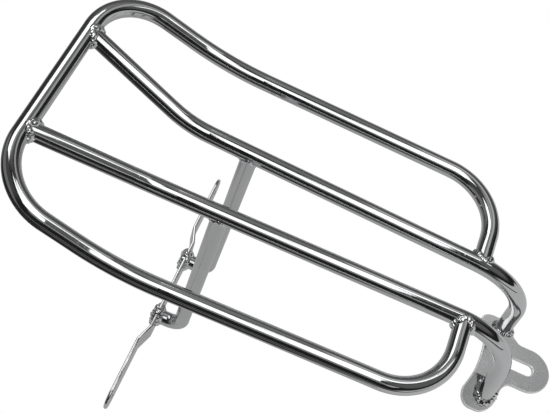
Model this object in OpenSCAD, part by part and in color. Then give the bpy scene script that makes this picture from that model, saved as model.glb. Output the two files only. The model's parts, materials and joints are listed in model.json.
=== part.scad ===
// Chromed tube luggage rack for the rear of a motorcycle.
// A bent outer hoop, two inner rails that turn down onto a slotted front plate,
// and two legs that end on a cross strap. Every joint is welded, so nothing moves.
// +X points to the front plate, +Y to the left, +Z up. The origin is the centre of the
// plate's slot, on the face that sits on the fender.

/* [Tube] */
// Outside diameter of every round tube
tube_d = 12.7; // [10:0.1:14]
// Wall thickness of the tube
tube_wall = 1.6; // [1.2:0.1:2.2]

/* [Deck] */
// Height of the flat deck's tube centres above the mounting face
deck_h = 74.3; // [72:0.1:77]
// Width of the hoop at its fold, between the centres of its side rails
deck_w = 189; // [184:1:196]
// Width of the hoop between its front corners
front_w = 178; // [174:1:184]
// Width of the hoop between its rear corners
rear_w = 185; // [180:1:192]
// How far the front cross tubes lie behind the slot
front_back = 64.3; // [63.5:0.1:65.5]
// Where the deck folds upwards, behind the slot
fold_back = 290; // [284:1:296]
// Length of the raised rear part, along its slope
raised_len = 96.3; // [93:0.1:102]
// Angle of the raised rear part above the flat part
raised_angle = 20.5; // [17:0.5:24]
// Centreline radius of the hoop's front corners
front_corner_r = 43; // [40:0.5:46]
// Centreline radius of the hoop's rear corners
rear_corner_r = 42.5; // [38:0.5:46]
// Centreline radius of the upward fold of the side rails
fold_r = 168; // [140:2:190]

/* [Inner rails] */
// Sideways place of the inner rails on the rear bar
rail_rear_y = 45.5; // [43:0.1:48]
// Sideways place of the inner rails at their bend
rail_mid_y = 28.3; // [27:0.1:30]
// Sideways place of the inner rails where they turn down
rail_front_y = 22.2; // [21:0.1:24]
// How far the inner rails climb from the front cross tubes to their bend
rail_rise = 3.9; // [3:0.1:5]
// Sideways place of the inner rails on the front plate
rail_foot_y = 28; // [27:0.5:29]
// Where the inner rails bend outwards and upwards, behind the slot
rail_bend_back = 292.5; // [289:0.5:296]
// Where the inner rails turn down, behind the slot
rail_turn_back = 24.5; // [23.5:0.1:26]
// Where the inner rails stand on the front plate, behind the slot
rail_foot_back = 14; // [12:0.5:16]
// Centreline radius of the outward bend
rail_bend_r = 92; // [80:1:100]
// Centreline radius of the downward bend
rail_turn_r = 49.5; // [42:0.5:52]

/* [Legs and strap] */
// Where the legs meet the inner rails, behind the slot
leg_back = 244.2; // [240:0.1:248]
// Where the legs' feet stand, behind the slot
leg_foot_back = 249; // [246:0.5:252]
// Sideways place of the legs at the strap
leg_foot_y = 29.5; // [28:0.5:31]
// Depth of the legs' feet below the mounting face
leg_drop = 124; // [115:0.5:132]
// Centreline radius of the bend above each foot
leg_bend_r = 12.5; // [11:0.5:13]
// Gap between the leg's axis and the front face of the strap
leg_to_strap = 19.5; // [19:0.5:24]
// Height of the strap
strap_h = 25; // [22:1:30]
// Thickness of the strap
strap_t = 3; // [2.5:0.5:4]
// Height of the strap's top edge above the centre of the feet
strap_rise = 9.5; // [9:0.5:11]
// Half length of the strap
strap_reach = 121; // [112:1:126]
// How far the strap's ends are stepped back
strap_step = 5; // [3:0.5:8]
// Where each step starts, from the middle
step_start = 44.5; // [41:0.5:47]
// Where each step ends, from the middle
step_end = 59; // [56:0.5:68]
// Diameter of the bolt hole at each end
strap_hole_d = 7; // [6:0.5:9]

/* [Front plate] */
// Thickness of the plate
plate_t = 3; // [2.5:0.1:3.5]
// Half width of the flat middle, up to the bend lines
flat_half_w = 19.5; // [18.5:0.5:20]
// Angle by which the wings are bent down
wing_angle = 34; // [25:1:38]
// Half width of the plate over its wings
wing_half_w = 41; // [39:0.5:43]
// Front edge of the wings, behind the slot
wing_front_back = 4.5; // [3:0.5:5]
// Rear edge of the wings, behind the slot
wing_rear_back = 31; // [30:0.5:33]
// Radius of the wings' outer corners
wing_corner_r = 11; // [9:0.5:12]
// Half width of the tongue
tongue_half_w = 17.5; // [16:0.5:18]
// Centre of the tongue's round end, ahead of the slot
tongue_ahead = 11; // [9:0.5:13]
// Radius of the round notch between tongue and wing
notch_r = 7; // [4:0.5:8]
// Depth of the hollow in the rear edge
rear_hollow = 4.4; // [2:0.2:6]
// Length of the slot
slot_len = 30; // [24:0.5:31]
// Width of the slot
slot_w = 9; // [7:0.5:10]

/* [Welds] */
// How far a weld stands out from the tube
weld_size = 3; // [2:0.1:3.2]

/* [Hidden] */
$fn = 40;

tube_r = tube_d / 2;
bore_d = tube_d - 2 * tube_wall;
weld_d = tube_d + 2 * weld_size;
// A bead reaches a little less far out around the coped tube than along the crossing one
bead_d = weld_d - 0.6;
// Play between a coped tube end and the tube that it sits on
fit_gap = 0.04;
// A coped tube end stops this far short of the crossing tube's axis
cope_inset = 1.6;
// A bend is this much thicker than the straight tube, and the straight tube runs this far into it
bend_swell = 0.08;
bend_lap = 0.2;
// Cutters run past the faces that they cut, and joined outlines into each other, by this much
over = 2;

rear_half_w = rear_w / 2;
rear_bar = [-fold_back - raised_len * cos(raised_angle), 0, deck_h + raised_len * sin(raised_angle)];

function unit(v) = v / norm(v);
// Sideways place of an inner rail on the flat deck, at a given x
function rail_y(x) =
    rail_mid_y + (rail_front_y - rail_mid_y) * (x + rail_bend_back) / (rail_bend_back - rail_turn_back);
// Height of an inner rail on the flat deck, at a given x
function rail_z(x) = deck_h - rail_rise * (x + front_back) / (rail_bend_back - front_back);
// How far the path turns at corner i
function turn(path, i) = acos(unit(path[i] - path[i - 1]) * unit(path[i + 1] - path[i]));
// How much of each leg the round of corner i uses up
function used(path, radii, i) = radii[i] * tan(turn(path, i) / 2);
// Where a straight stretch stops, measured back from corner i
function straight_stop(path, radii, i) =
    i == 0 || i == len(path) - 1 ? 0 : used(path, radii, i) - bend_lap;
// The path with both of its ends made longer, or shorter where the length is negative
function stretched(path, first, last) = [
    for (i = [0 : len(path) - 1])
        i == 0 ? path[0] + first * unit(path[0] - path[1])
        : i == len(path) - 1 ? path[i] + last * unit(path[i] - path[i - 1])
        : path[i]
];

hoop_path = [
    [-front_back, -rail_y(-front_back), deck_h],
    [-front_back, -front_w / 2, deck_h],
    [-fold_back, -deck_w / 2, deck_h],
    rear_bar - [0, rear_half_w, 0],
    rear_bar + [0, rear_half_w, 0],
    [-fold_back, deck_w / 2, deck_h],
    [-front_back, front_w / 2, deck_h],
    [-front_back, rail_y(-front_back), deck_h]
];
hoop_radii = [0, front_corner_r, fold_r, rear_corner_r, rear_corner_r, fold_r, front_corner_r, 0];

// Paths of the right-hand rail and leg
rail_path = [
    rear_bar - [0, rail_rear_y, 0],
    [-rail_bend_back, -rail_mid_y, rail_z(-rail_bend_back)],
    [-rail_turn_back, -rail_front_y, rail_z(-rail_turn_back)],
    [-rail_foot_back, -rail_foot_y, plate_t - (rail_foot_y - flat_half_w) * tan(wing_angle)]
];
rail_radii = [0, rail_bend_r, rail_turn_r, 0];
leg_path = [
    [-leg_back, -rail_y(-leg_back), rail_z(-leg_back)],
    [-leg_foot_back, -leg_foot_y, -leg_drop],
    [-leg_foot_back - leg_to_strap, -leg_foot_y, -leg_drop]
];
leg_radii = [0, leg_bend_r, 0];

strap_face = -leg_foot_back - leg_to_strap;
strap_bottom = strap_rise - leg_drop - strap_h;
strap_end_r = strap_h / 2;

// Straight round bar between two points
module bar(a, b, d) {
    v = b - a;
    translate(a) rotate([0, acos(v.z / norm(v)), atan2(v.y, v.x)]) cylinder(h = norm(v), d = d);
}

// Bent round bar at corner i of a path
module elbow(path, radii, i, d) {
    along = unit(path[i] - path[i - 1]);
    axis = unit(cross(along, path[i + 1] - path[i]));
    outward = cross(along, axis);
    centre = path[i] - along * used(path, radii, i) - outward * radii[i];
    multmatrix([
        [outward.x, along.x, axis.x, centre.x],
        [outward.y, along.y, axis.y, centre.y],
        [outward.z, along.z, axis.z, centre.z],
        [0, 0, 0, 1]
    ])
        rotate_extrude(angle = turn(path, i)) translate([radii[i], 0]) circle(d = d);
}

// Round bar that follows a path, with its corners rounded
module run(path, radii, d) {
    for (i = [0 : len(path) - 2]) {
        along = unit(path[i + 1] - path[i]);
        start = path[i] + along * straight_stop(path, radii, i);
        bar(start, path[i + 1] - along * straight_stop(path, radii, i + 1), d);
    }
    for (i = [1 : len(path) - 2]) elbow(path, radii, i, d + bend_swell);
}

// Hollow tube that follows a path
module tube(path, radii) {
    difference() {
        run(path, radii, tube_d);
        run(stretched(path, over, over), radii, bore_d);
    }
}

// The same thing on the left-hand side
module to_left() {
    mirror([0, 1, 0]) children();
}

module rail_cutter() {
    run(rail_path, rail_radii, tube_d + 2 * fit_gap);
}

// Straight stretch of the hoop's rear bar
module rear_bar_run(d) {
    reach = rear_half_w - rear_corner_r;
    bar(rear_bar - [0, reach, 0], rear_bar + [0, reach, 0], d);
}

// Slab along the right wing of the front plate, between two heights above its upper face
module wing_slab(low, high) {
    translate([-2 * wing_half_w, -flat_half_w, plate_t]) rotate([wing_angle, 0, 0])
        translate([0, -wing_half_w, low]) cube([3 * wing_half_w, 1.5 * wing_half_w, high - low]);
}

module outer_hoop() {
    color("silver") difference() {
        tube(stretched(hoop_path, -cope_inset, -cope_inset), hoop_radii);
        rail_cutter();
        to_left() rail_cutter();
    }
}

module inner_rail() {
    color("silver") difference() {
        tube(stretched(rail_path, -cope_inset, over + tube_r), rail_radii);
        rear_bar_run(tube_d + 2 * fit_gap);
        wing_slab(-2 * tube_d, 0);
    }
}

module support_leg() {
    color("silver") difference() {
        tube(stretched(leg_path, -cope_inset, 0), leg_radii);
        rail_cutter();
    }
}

// Places a shape on the axis of the strap's round end, side 1 on the left or -1 on the right
module at_strap_end(side, x) {
    translate([x, side * (strap_reach - strap_end_r), strap_bottom + strap_end_r])
        rotate([0, 90, 0]) children();
}

module fender_strap() {
    straight_end = strap_reach - strap_end_r;
    back = -strap_step;
    front_line = [
        [back, -straight_end], [back, -step_end], [0, -step_start],
        [0, step_start], [back, step_end], [back, straight_end]
    ];
    back_line = [for (i = [5 : -1 : 0]) front_line[i] - [strap_t, 0]];
    color("silver") translate([strap_face, 0, 0]) difference() {
        union() {
            translate([0, 0, strap_bottom]) linear_extrude(strap_h) polygon(concat(front_line, back_line));
            for (side = [-1, 1])
                at_strap_end(side, back - strap_t) cylinder(h = strap_t, r = strap_end_r);
        }
        for (side = [-1, 1])
            at_strap_end(side, back - strap_t - over) cylinder(h = strap_t + 2 * over, d = strap_hole_d);
    }
}

// Plate outline seen from above, over one half
module plate_half() {
    wing_len = wing_rear_back - wing_front_back;
    corner_y = wing_half_w - wing_corner_r;
    translate([-wing_rear_back, 0]) square([wing_len, corner_y]);
    translate([-wing_rear_back + wing_corner_r, 0]) square([wing_len - 2 * wing_corner_r, wing_half_w]);
    for (x = [-wing_rear_back + wing_corner_r, -wing_front_back - wing_corner_r])
        translate([x, corner_y]) circle(wing_corner_r);
    translate([-wing_front_back - over, 0]) square([tongue_ahead + wing_front_back + over, tongue_half_w]);
    difference() {
        translate([-wing_front_back - over, 0]) square([notch_r + over, tongue_half_w + notch_r]);
        translate([-wing_front_back + notch_r, tongue_half_w + notch_r]) circle(notch_r);
    }
}

module plate_outline() {
    hollow_half = wing_half_w - wing_corner_r;
    hollow_r = (pow(hollow_half, 2) + pow(rear_hollow, 2)) / (2 * rear_hollow);
    slot_end = (slot_len - slot_w) / 2;
    difference() {
        union() {
            plate_half();
            mirror([0, 1]) plate_half();
            translate([tongue_ahead, 0]) circle(tongue_half_w);
        }
        translate([-wing_rear_back + rear_hollow - hollow_r, 0]) circle(hollow_r, $fn = 5 * $fn);
        for (x = [-slot_end, slot_end]) translate([x, 0]) circle(d = slot_w);
        square([2 * slot_end, slot_w], center = true);
    }
}

// Bent sheet, seen along X, drawn in the plane of y and z
module sheet_section() {
    sheet_w = 1.5 * wing_half_w;
    translate([-flat_half_w, 0]) square([2 * flat_half_w, plate_t]);
    for (m = [0, 1]) mirror([m, 0]) translate([flat_half_w, 0]) {
        translate([0, plate_t]) rotate(-wing_angle) translate([0, -plate_t]) square([sheet_w, plate_t]);
        polygon([[0, 0], [0, plate_t], plate_t * [-sin(wing_angle), 1 - cos(wing_angle)]]);
    }
}

module front_plate() {
    length = 2 * (wing_rear_back + tongue_ahead + tongue_half_w);
    depth = 2 * wing_half_w;
    color("darkgray") intersection() {
        rotate([90, 0, 90]) linear_extrude(length, center = true) sheet_section();
        translate([0, 0, -depth / 2]) linear_extrude(depth) plate_outline();
    }
}

// Bead in the corner where a coped tube starts at a point of the tube that it is welded to.
// The child is that crossing tube, drawn at the diameter in $bead_d.
module cope_weld(start, towards) {
    along = unit(towards - start);
    color("gray") difference() {
        intersection() {
            cross_tube(weld_d) children();
            bar(start, start + along * weld_d, bead_d);
        }
        cross_tube(tube_d) children();
        bar(start - along * over, start + along * 2 * weld_d, tube_d + fit_gap);
    }
}

module cross_tube(d) {
    $bead_d = d;
    children();
}

module weld_rear() {
    cope_weld(rail_path[0], rail_path[1]) rear_bar_run($bead_d);
}

module weld_front() {
    cope_weld(hoop_path[0], hoop_path[1]) run(rail_path, rail_radii, $bead_d);
}

module weld_leg_top() {
    cope_weld(leg_path[0], leg_path[1]) bar(rail_path[1], rail_path[2], $bead_d);
}

module weld_leg_foot() {
    bead = [[tube_r, 0], [tube_r + weld_size, 0], [tube_r, weld_size]];
    color("gray") translate(leg_path[2]) rotate([0, 90, 0]) rotate_extrude() polygon(bead);
}

module weld_plate() {
    foot = rail_path[3];
    along = unit(foot - rail_path[2]);
    color("gray") difference() {
        intersection() {
            bar(foot - along * weld_d, foot + along * weld_d, weld_d);
            wing_slab(0, weld_size);
        }
        bar(rail_path[2], foot + along * weld_d, tube_d);
    }
}

outer_hoop();
to_left() inner_rail();  // inner_rail_left
inner_rail();  // inner_rail_right
to_left() support_leg();  // support_leg_left
support_leg();  // support_leg_right
fender_strap();
front_plate();
to_left() weld_rear();  // weld_rear_left
weld_rear();  // weld_rear_right
to_left() weld_front();  // weld_front_left
weld_front();  // weld_front_right
to_left() weld_leg_top();  // weld_leg_top_left
weld_leg_top();  // weld_leg_top_right
to_left() weld_leg_foot();  // weld_leg_foot_left
weld_leg_foot();  // weld_leg_foot_right
to_left() weld_plate();  // weld_plate_left
weld_plate();  // weld_plate_right
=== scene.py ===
"""Chromed luggage rack on a pale floor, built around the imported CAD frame. Units are metres."""
import bpy
import json
import math
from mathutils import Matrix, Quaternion, Vector, noise


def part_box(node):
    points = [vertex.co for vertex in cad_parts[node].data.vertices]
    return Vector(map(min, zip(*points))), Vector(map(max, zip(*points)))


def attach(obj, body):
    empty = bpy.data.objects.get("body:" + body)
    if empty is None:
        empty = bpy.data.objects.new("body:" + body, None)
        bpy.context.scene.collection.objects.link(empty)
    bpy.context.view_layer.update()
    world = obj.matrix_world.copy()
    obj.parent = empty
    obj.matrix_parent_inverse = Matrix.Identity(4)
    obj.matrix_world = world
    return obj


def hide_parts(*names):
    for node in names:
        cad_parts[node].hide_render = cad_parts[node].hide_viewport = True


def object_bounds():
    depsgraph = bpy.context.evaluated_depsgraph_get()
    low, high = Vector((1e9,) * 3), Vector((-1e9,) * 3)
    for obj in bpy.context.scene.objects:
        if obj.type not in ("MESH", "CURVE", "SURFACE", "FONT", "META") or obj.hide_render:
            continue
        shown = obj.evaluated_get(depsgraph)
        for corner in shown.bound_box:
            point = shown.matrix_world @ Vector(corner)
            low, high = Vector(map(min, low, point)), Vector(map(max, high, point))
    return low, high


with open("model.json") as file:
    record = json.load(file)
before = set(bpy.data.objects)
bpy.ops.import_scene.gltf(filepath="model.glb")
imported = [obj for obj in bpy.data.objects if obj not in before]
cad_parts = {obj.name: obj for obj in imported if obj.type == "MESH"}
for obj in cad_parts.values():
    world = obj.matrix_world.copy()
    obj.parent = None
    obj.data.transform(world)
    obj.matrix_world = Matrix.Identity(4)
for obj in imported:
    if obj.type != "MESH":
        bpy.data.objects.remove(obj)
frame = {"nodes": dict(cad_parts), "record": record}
cad_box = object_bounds()
nodes = frame["nodes"]
link_object = bpy.context.scene.collection.objects.link

# ---------------------------------------------------------------- camera
# Where the camera stands, seen from its target: degrees above the deck, degrees from -Y towards +X,
# degrees of roll, and distance
CAMERA_ELEVATION = 58.547
CAMERA_AZIMUTH = 1.607
CAMERA_ROLL = 22.693
CAMERA_DISTANCE = 0.64219
CAMERA_TARGET = Vector((-0.21352, -0.00225, 0.0743))
CAMERA_LENS = 60.566
CAMERA_SENSOR = 36


def add_camera():
    data = bpy.data.cameras.new("camera")
    data.lens = CAMERA_LENS
    data.sensor_width = CAMERA_SENSOR
    data.clip_start = 0.01
    data.clip_end = 50
    cam = bpy.data.objects.new("camera", data)
    a, e = math.radians(CAMERA_AZIMUTH), math.radians(CAMERA_ELEVATION)
    back = Vector((math.sin(a) * math.cos(e), -math.cos(a) * math.cos(e), math.sin(e)))
    cam.location = CAMERA_TARGET + back * CAMERA_DISTANCE
    cam.rotation_mode = "QUATERNION"
    level = (-back).to_track_quat("-Z", "Y")
    cam.rotation_quaternion = level @ Quaternion((0, 0, 1), math.radians(CAMERA_ROLL))
    link_object(cam)
    bpy.context.scene.camera = cam


# ---------------------------------------------------------------- node helpers
def empty_tree(owner):
    owner.use_nodes = True
    owner.node_tree.nodes.clear()
    return owner.node_tree


class Graph:
    """Short way to write a node tree. Most methods add one node and return its output socket."""

    def __init__(self, owner):
        self.tree = empty_tree(owner)

    def add(self, kind, **settings):
        n = self.tree.nodes.new(kind)
        for key, value in settings.items():
            setattr(n, key, value)
        return n

    def feed(self, socket, value):
        if isinstance(value, bpy.types.NodeSocket):
            self.tree.links.new(value, socket)
        else:
            socket.default_value = value

    def math(self, operation, a, b):
        n = self.add("ShaderNodeMath", operation=operation)
        self.feed(n.inputs[0], a)
        self.feed(n.inputs[1], b)
        return n.outputs[0]

    def dot(self, a, b):
        n = self.add("ShaderNodeVectorMath", operation="DOT_PRODUCT")
        self.feed(n.inputs[0], a)
        self.feed(n.inputs[1], b)
        return n.outputs["Value"]

    def ramp(self, value, low, high, to_low=0.0, to_high=1.0, smooth=True):
        n = self.add("ShaderNodeMapRange", interpolation_type="SMOOTHSTEP" if smooth else "LINEAR")
        inputs = {"Value": value, "From Min": low, "From Max": high, "To Min": to_low, "To Max": to_high}
        for key, v in inputs.items():
            self.feed(n.inputs[key], v)
        return n.outputs["Result"]

    def noise(self, vector, scale, detail=2.0, rough=0.5):
        n = self.add("ShaderNodeTexNoise")
        self.feed(n.inputs["Vector"], vector)
        for key, v in (("Scale", scale), ("Detail", detail), ("Roughness", rough)):
            n.inputs[key].default_value = v
        return n.outputs["Fac"]

    def cells(self, vector, scale, want="Distance"):
        n = self.add("ShaderNodeTexVoronoi")
        self.feed(n.inputs["Vector"], vector)
        n.inputs["Scale"].default_value = scale
        return n.outputs[want]

    def mix_shader(self, fac, a, b):
        n = self.add("ShaderNodeMixShader")
        self.feed(n.inputs["Fac"], fac)
        self.tree.links.new(a, n.inputs[1])
        self.tree.links.new(b, n.inputs[2])
        return n.outputs["Shader"]

    def emission(self, strength, kind="ShaderNodeEmission"):
        n = self.add(kind)
        n.inputs["Color"].default_value = (1, 1, 1, 1)
        self.feed(n.inputs["Strength"], strength)
        return n.outputs[0]

    def surface(self, shader, kind="ShaderNodeOutputMaterial"):
        self.tree.links.new(shader, self.add(kind).inputs["Surface"])


# ---------------------------------------------------------------- metal
# What all the finishes share: a noise is (scale, detail, roughness), a range is (lowest, highest) of a noise
STAIN_NOISE = (26, 5, 0.62)
STAIN_RANGE = (0.35, 0.75)
STAIN_TINT = 0.93
HAZE_NOISE = (190, 4, 0.6)
HAZE_RANGE = (0.42, 0.78)
PIT_RADIUS = 0.32
POLISH_SCALE = (60, 1400, 1400)


def plated(name, tint, rough, wave, pits, grain=0.0, metallic=1.0):
    """Plated metal. rough is (polished, hazy); wave is (scale, depth) of the slow unevenness under the
    plating; pits is (scale, share, depth); grain is the depth of fine polishing lines along X; metallic is
    below 1 for an edge that also scatters some light, which makes it paler: a painted highlight."""
    mat = bpy.data.materials.new(name)
    g = Graph(mat)
    bsdf = g.add("ShaderNodeBsdfPrincipled")
    bsdf.inputs["Metallic"].default_value = metallic
    where = g.add("ShaderNodeTexCoord").outputs["Object"]
    tone = g.add("ShaderNodeMix", data_type="RGBA")
    g.feed(tone.inputs["Factor"], g.ramp(g.noise(where, *STAIN_NOISE), *STAIN_RANGE))
    tone.inputs["A"].default_value = (*tint, 1)
    tone.inputs["B"].default_value = (*[c * STAIN_TINT for c in tint], 1)
    g.feed(bsdf.inputs["Base Color"], tone.outputs["Result"])
    g.feed(bsdf.inputs["Roughness"], g.ramp(g.noise(where, *HAZE_NOISE), *HAZE_RANGE, *rough))

    wave_scale, wave_depth = wave
    pit_scale, pit_share, pit_depth = pits
    height = g.math("MULTIPLY", g.noise(where, wave_scale), wave_depth)
    spot = g.cells(where, pit_scale)
    chosen = g.math("LESS_THAN", g.cells(where, pit_scale, "Color"), pit_share)
    hole = g.math("MULTIPLY", g.ramp(spot, 0.0, PIT_RADIUS, 1.0, 0.0), chosen)
    height = g.math("SUBTRACT", height, g.math("MULTIPLY", hole, pit_depth))
    if grain:
        stretch = g.add("ShaderNodeVectorMath", operation="MULTIPLY")
        g.feed(stretch.inputs[0], where)
        stretch.inputs[1].default_value = POLISH_SCALE
        height = g.math("ADD", height, g.math("MULTIPLY", g.noise(stretch.outputs[0], 1.0), grain))
    bump = g.add("ShaderNodeBump")
    bump.inputs["Distance"].default_value = 1.0
    g.feed(bump.inputs["Height"], height)
    g.feed(bsdf.inputs["Normal"], bump.outputs["Normal"])
    g.surface(bsdf.outputs["BSDF"])
    return mat


# ---------------------------------------------------------------- stage
# The camera sees the floor and the room white. The chrome sees them dark with some pale areas, as it would
# in a studio. On the floor, ramps over x or y set those areas: (from, to, value at from, value at to), where
# the values are 0 and 1 if they aren't given.
FLOOR_SIZE = 14
FLOOR_CENTRE = (-0.2, 0)
FLOOR_Z = cad_box[0].z - 0.004
FLOOR_DARK = 0.01
# A pale table in front. The x of its left edge is the sum of two ramps over y
TABLE_EDGE_SLANT = (-0.55, -0.2, 0.0, -0.2)
TABLE_EDGE_BEND = (-0.25, -0.12, 0.0, -0.2)
TABLE_EDGE_BLUR = (-0.06, 0.06)
TABLE_TONE_BY_X = (-0.2, 0.2, 0.37, 0.5)
TABLE_FRONT_BY_Y = (-1.2, -0.9)
# A soft pale area behind, and a small patch to the left of the table
REAR_TONE_BY_Y = (-0.25, 0.1, 0.012, 0.17)
REAR_LEFT_BY_X = (-1.6, -0.9)
PATCH_TONE_BY_Y = (-0.70, -0.63, 0.2, 0.0)
PATCH_FRONT_BY_Y = (-1.0, -0.85)
PATCH_LEFT_BY_X = (-0.5, -0.3)


def is_reflection(g):
    return g.add("ShaderNodeLightPath").outputs["Is Glossy Ray"]


def add_floor():
    bpy.ops.mesh.primitive_plane_add(size=FLOOR_SIZE, location=(*FLOOR_CENTRE, FLOOR_Z))
    floor = bpy.context.object
    floor.name = "floor"
    mat = bpy.data.materials.new("floor_paper")
    g = Graph(mat)
    split = g.add("ShaderNodeSeparateXYZ")
    g.feed(split.inputs[0], g.add("ShaderNodeNewGeometry").outputs["Position"])
    x, y = split.outputs["X"], split.outputs["Y"]
    edge = g.math("ADD", g.ramp(y, *TABLE_EDGE_SLANT, smooth=False), g.ramp(y, *TABLE_EDGE_BEND))
    past_edge = g.ramp(g.math("SUBTRACT", x, edge), *TABLE_EDGE_BLUR)
    table = g.math("MULTIPLY", past_edge, g.ramp(x, *TABLE_TONE_BY_X))
    table = g.math("MULTIPLY", table, g.ramp(y, *TABLE_FRONT_BY_Y))
    rear = g.math("MULTIPLY", g.ramp(y, *REAR_TONE_BY_Y), g.ramp(x, *REAR_LEFT_BY_X))
    patch = g.math("MULTIPLY", g.ramp(y, *PATCH_TONE_BY_Y), g.ramp(y, *PATCH_FRONT_BY_Y))
    patch = g.math("MULTIPLY", patch, g.ramp(x, *PATCH_LEFT_BY_X))
    brightest = g.math("MAXIMUM", table, g.math("MAXIMUM", rear, patch))
    mirrored = g.emission(g.math("ADD", brightest, FLOOR_DARK))
    g.surface(g.mix_shader(is_reflection(g), g.emission(1.0), mirrored))
    floor.data.materials.append(mat)


# The room as the chrome sees it: its darkness, then soft grey areas, each with its direction, the angles in
# degrees where it is full and where it ends, and its brightness
ROOM_DARK = 0.014
WALLS = [
    ((-0.1, 1.0, 0.22), (20, 62), 0.085),
    ((-0.2, 0.55, 0.85), (12, 34), 0.12),
    ((0.75, -0.1, 1.0), (14, 32), 0.10),
    ((-0.8, -0.4, 1.0), (14, 34), 0.05),
    ((-0.26, 0.42, 1.0), (4, 15), 0.22),
]
# Bright bands round the horizon: the way they lie, lowest and highest sine of elevation, brightness
BANDS = [
    ((0, -1, 0), (-0.09, 0.025), 0.2),
    ((1, -0.25, 0), (-0.5, 0.2), 0.5),
    ((-1, -0.3, 0), (-0.5, 0.5), 0.16),
]
# How softly a band begins and ends in height, and the cosines between which it fades out sideways
BAND_BLUR = (0.02, 0.03)
BAND_SPREAD = (0.66, 0.85)


def add_world():
    world = bpy.data.worlds.new("studio")
    bpy.context.scene.world = world
    g = Graph(world)
    towards = g.add("ShaderNodeTexCoord").outputs["Generated"]
    total = ROOM_DARK
    for direction, (full, end), level in WALLS:
        near = g.dot(towards, Vector(direction).normalized())
        patch = g.ramp(near, math.cos(math.radians(end)), math.cos(math.radians(full)), 0.0, level)
        total = g.math("ADD", patch, total)
    split = g.add("ShaderNodeSeparateXYZ")
    g.feed(split.inputs[0], towards)
    height = split.outputs["Z"]
    for direction, (low, high), level in BANDS:
        above = g.ramp(height, low - BAND_BLUR[0], low)
        below = g.ramp(height, high, high + BAND_BLUR[1], 1.0, 0.0)
        ahead = g.ramp(g.dot(towards, Vector(direction).normalized()), *BAND_SPREAD, 0.0, level)
        total = g.math("ADD", total, g.math("MULTIPLY", g.math("MULTIPLY", above, below), ahead))
    pale = g.emission(1.0, "ShaderNodeBackground")
    room = g.emission(total, "ShaderNodeBackground")
    g.surface(g.mix_shader(is_reflection(g), pale, room), "ShaderNodeOutputWorld")


# Cards of light that face down from this height: centre and size in x and y, turn about Z in degrees,
# and radiance
LIGHT_Z = 1.07
SOFTBOXES = {
    "overhead": ((-0.135, -0.33), (0.48, 0.68), 0, 1.5),
    "overhead_front": ((0.045, 0.21), (0.46, 0.22), 48, 1.5),
    "overhead_side": ((0.37, 0.34), (0.34, 0.18), 0, 1.1),
    "left_rear": ((-1.03, 0.5), (0.74, 1.0), -10, 1.5),
    "left_rear_tip": ((-0.60, 0.80), (0.30, 0.5), -30, 1.5),
    "low_fill": ((0.02, -0.93), (0.66, 0.42), 0, 0.26),
    "far_fill": ((0.24, 0.76), (0.52, 0.55), 0, 0.34),
    "wing_fill": ((0.48, -1.02), (0.24, 0.42), 0, 0.5),
}


def add_softbox(name, centre, size, turn, radiance):
    data = bpy.data.lights.new(name, "AREA")
    data.shape = "RECTANGLE"
    data.size, data.size_y = size
    data.energy = radiance * size[0] * size[1] * math.pi
    lamp = bpy.data.objects.new(name, data)
    lamp.location = (*centre, LIGHT_Z)
    lamp.rotation_euler = (0, 0, math.radians(turn))
    lamp.visible_camera = False
    link_object(lamp)


# ---------------------------------------------------------------- weld beads
# The CAD's driving dimensions for the axes of the right-hand tubes
TUBE_R = 0.00635
DECK_H = 0.0743
FRONT_X = -0.0643
FOLD_X = -0.290
RAISED_LENGTH = 0.0963
RAISED_ANGLE = math.radians(20.5)
RAIL_RISE = 0.0039
RAIL_REAR_Y = -0.0455
RAIL_BEND_X = -0.2925
RAIL_BEND_Y = -0.0283
RAIL_TURN_X = -0.0245
RAIL_TURN_Y = -0.0222
RAIL_FOOT_X = -0.014
RAIL_FOOT_Y = -0.028
LEG_X = -0.2442
LEG_FOOT = Vector((-0.249, -0.0295, -0.124))
BEND_LINE_Y = -0.0195
WING_ANGLE = math.radians(34)

# Points on those axes
REAR_JOINT = Vector((FOLD_X - RAISED_LENGTH * math.cos(RAISED_ANGLE), RAIL_REAR_Y,
                     DECK_H + RAISED_LENGTH * math.sin(RAISED_ANGLE)))
RAIL_BEND = Vector((RAIL_BEND_X, RAIL_BEND_Y, DECK_H + RAIL_RISE))
RAIL_TURN = Vector((RAIL_TURN_X, RAIL_TURN_Y,
                    DECK_H + RAIL_RISE * (RAIL_TURN_X - FRONT_X) / (RAIL_BEND_X - FRONT_X)))
RAIL_FOOT = Vector((RAIL_FOOT_X, RAIL_FOOT_Y,
                    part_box("front_plate")[1].z + (RAIL_FOOT_Y - BEND_LINE_Y) * math.tan(WING_ANGLE)))
STRAP_JOINT = Vector((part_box("fender_strap")[1].x, LEG_FOOT.y, LEG_FOOT.z))

# The bead's mesh: points along and round it, and ripples in one turn
BEAD_STEPS = 320
BEAD_SIDES = 20
BEAD_RIPPLES = 19
# In bead radii: how far its centre is sunk, how wide it is, how deep its ripples and lumps are
BEAD_SINK = 0.35
BEAD_WIDTH = 1.15
RIPPLE_DEPTH = 0.09
RIPPLE_MEAN = 0.6
RIPPLE_LAG = 0.35
LUMP_DEPTH = 0.30
LUMP_SIZE = 0.0030
# Rounds the seam at a saddle's flanks, where it would come to a point
FLANK_BLEND = 0.015


def on_rail(x):
    """Point of the rail's straight stretch at a given x, and its direction."""
    run = RAIL_TURN - RAIL_BEND
    return RAIL_BEND + run * ((x - RAIL_BEND.x) / run.x), run.normalized()


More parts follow.
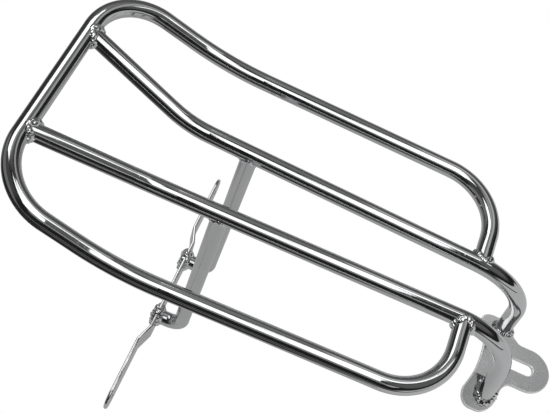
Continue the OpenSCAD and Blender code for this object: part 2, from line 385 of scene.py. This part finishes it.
def saddle(start, along, cross):
    """Seam where a tube from start, in direction along, meets a tube of the same size in direction cross.
    The seam gives, for a way w out of the tube: the point, the way out of the other tube, how open it is."""
    def seam(w):
        tilt, lean = w.dot(cross), along.dot(cross)
        s = TUBE_R * (tilt * lean + math.sqrt(tilt * tilt + FLANK_BLEND)) / (1 - lean * lean)
        p = start + w * TUBE_R + along * s
        off = p - start
        return p, (off - cross * off.dot(cross)).normalized(), abs(tilt)
    return seam


def on_plane(foot, along, normal):
    """Seam where a tube through foot, in direction along, meets the plane through foot with that normal."""
    def seam(w):
        return foot + w * TUBE_R - along * (TUBE_R * w.dot(normal) / along.dot(normal)), normal, 1.0
    return seam


def lump(p, size):
    """Bumps of about that size, the same on every run."""
    fine = noise.noise(p / (size * 0.45) + Vector((7, 3, 5)))
    return noise.noise(p / size) + 0.5 * fine


def bead_mesh(name, along, seam, thick, thin):
    """A bead laid in short overlapping ripples round a tube: thick in the crotch, thin on the flanks."""
    side = along.orthogonal().normalized()
    other = along.cross(side)
    ring = []
    for k in range(BEAD_STEPS):
        a = 2 * math.pi * k / BEAD_STEPS
        w = side * math.cos(a) + other * math.sin(a)
        ring.append((w, *seam(w)))
    verts = []
    for k, (w, p, face, openness) in enumerate(ring):
        tangent = (ring[(k + 1) % BEAD_STEPS][1] - ring[k - 1][1]).normalized()
        out = (w + face).normalized()
        out = (out - tangent * out.dot(tangent)).normalized()
        across = tangent.cross(out)
        r = thin + (thick - thin) * openness
        centre = p - out * r * BEAD_SINK
        for m in range(BEAD_SIDES):
            b = 2 * math.pi * m / BEAD_SIDES
            crescent = (k / BEAD_STEPS * BEAD_RIPPLES + RIPPLE_LAG * math.cos(b)) % 1.0
            ripple = 1 + RIPPLE_DEPTH * (math.sin(math.pi * crescent) - RIPPLE_MEAN)
            spot = centre + (out * math.cos(b) + across * math.sin(b) * BEAD_WIDTH) * r * ripple
            verts.append(spot + (spot - centre).normalized() * r * LUMP_DEPTH * lump(spot, LUMP_SIZE))
    faces = [(k * BEAD_SIDES + m, k * BEAD_SIDES + (m + 1) % BEAD_SIDES,
              (k + 1) % BEAD_STEPS * BEAD_SIDES + (m + 1) % BEAD_SIDES,
              (k + 1) % BEAD_STEPS * BEAD_SIDES + m)
             for k in range(BEAD_STEPS) for m in range(BEAD_SIDES)]
    mesh = bpy.data.meshes.new(name)
    mesh.from_pydata(verts, [], faces)
    for polygon in mesh.polygons:
        polygon.use_smooth = True
    return mesh


def right_joints():
    """Joints on the right side: the tube's direction, its seam, and the bead's radius in the crotch and on
    the flanks."""
    leftward, outward, forward = Vector((0, 1, 0)), Vector((0, -1, 0)), Vector((1, 0, 0))
    rail_dir = (RAIL_BEND - REAR_JOINT).normalized()
    front, front_dir = on_rail(FRONT_X)
    leg, leg_dir = on_rail(LEG_X)
    down = (LEG_FOOT - leg).normalized()
    up = (RAIL_TURN - RAIL_FOOT).normalized()
    wing_normal = Vector((0, -math.sin(WING_ANGLE), math.cos(WING_ANGLE)))
    return {
        "rear": (rail_dir, saddle(REAR_JOINT, rail_dir, leftward), 0.0039, 0.0022),
        "front": (outward, saddle(front, outward, front_dir), 0.0034, 0.0018),
        "leg_top": (down, saddle(leg, down, leg_dir), 0.0027, 0.0013),
        "leg_foot": (forward, on_plane(STRAP_JOINT, forward, forward), 0.0048, 0.0048),
        "plate": (up, on_plane(RAIL_FOOT, up, wing_normal), 0.0037, 0.0037),
    }


def add_beads(mat):
    for joint, (along, seam, thick, thin) in right_joints().items():
        for side in ("right", "left"):
            name = f"bead_{joint}_{side}"
            mesh = bead_mesh(name, along, seam, thick, thin)
            if side == "left":
                for v in mesh.vertices:
                    v.co.y = -v.co.y
                mesh.flip_normals()
            mesh.materials.append(mat)
            piece = bpy.data.objects.new(name, mesh)
            link_object(piece)
            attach(piece, "root")
            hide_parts(f"weld_{joint}_{side}")


# ---------------------------------------------------------------- CAD nodes
# Radius of the rounding on each sheet-metal node's edges
PLATE_EDGE = 0.0009
STRAP_EDGE = 0.0013
# Points this close become one point, faces that meet this flat become one face, and edges that are sharper
# than the last angle are rounded. Angles are in degrees
WELD_GAP = 0.000002
FLAT_ANGLE = 0.5
SHARP_ANGLE = 50


def ease_edges(node, width):
    """Rounds the sharp edges of a sheet-metal node and gives the rounding its second material."""
    joined = nodes[node].modifiers.new("joined", "WELD")
    joined.merge_threshold = WELD_GAP
    flat = nodes[node].modifiers.new("flat", "DECIMATE")
    flat.decimate_type = "DISSOLVE"
    flat.angle_limit = math.radians(FLAT_ANGLE)
    bevel = nodes[node].modifiers.new("eased", "BEVEL")
    bevel.width = width
    bevel.segments = 4
    bevel.use_clamp_overlap = False
    bevel.limit_method = "ANGLE"
    bevel.angle_limit = math.radians(SHARP_ANGLE)
    bevel.material = 1


def finish_cad_nodes(by_slot, edge_painted_highlight, rim):
    for sub in frame["record"]["subparts"]:
        nodes[sub["node"]].data.materials.clear()
        nodes[sub["node"]].data.materials.append(by_slot[sub["material_slot"]])
    nodes["fender_strap"].data.materials[0] = by_slot["chrome_tube"]
    # The plate's rounded edges get the pale finish, a painted highlight; the strap's get the rim chrome
    for node, width, finish in (("front_plate", PLATE_EDGE, edge_painted_highlight), ("fender_strap", STRAP_EDGE, rim)):
        nodes[node].data.materials.append(finish)
        ease_edges(node, width)


# ---------------------------------------------------------------- the scene
bpy.context.scene.view_settings.view_transform = "Standard"
add_camera()
add_floor()
add_world()
for lamp_name, card in SOFTBOXES.items():
    add_softbox(lamp_name, *card)

tube = plated("chrome_tube", (0.74, 0.745, 0.755), rough=(0.05, 0.12),
              wave=(60, 0.000006), pits=(520, 0.10, 0.00003))
sheet = plated("chrome_sheet", (0.76, 0.765, 0.775), rough=(0.14, 0.30),
               wave=(90, 0.00004), pits=(480, 0.12, 0.00001), grain=0.0000015)
# The plate's edges: paler, partly matt chrome that is a painted highlight, standing in for the white
# highlights on their rounding
edge_painted_highlight = plated("chrome_edge_painted_highlight", (0.95, 0.95, 0.955), rough=(0.20, 0.28),
              wave=(60, 0.000008), pits=(420, 0.05, 0.00002), metallic=0.68)
rim = plated("chrome_rim", (0.90, 0.905, 0.915), rough=(0.10, 0.20),
             wave=(60, 0.000008), pits=(420, 0.05, 0.00002))
weld = plated("plated_weld", (0.90, 0.905, 0.915), rough=(0.07, 0.14),
              wave=(500, 0.00014), pits=(900, 0.3, 0.00003))
add_beads(weld)
finish_cad_nodes({"chrome_tube": tube, "chrome_sheet": sheet, "plated_weld": weld}, edge_painted_highlight, rim)
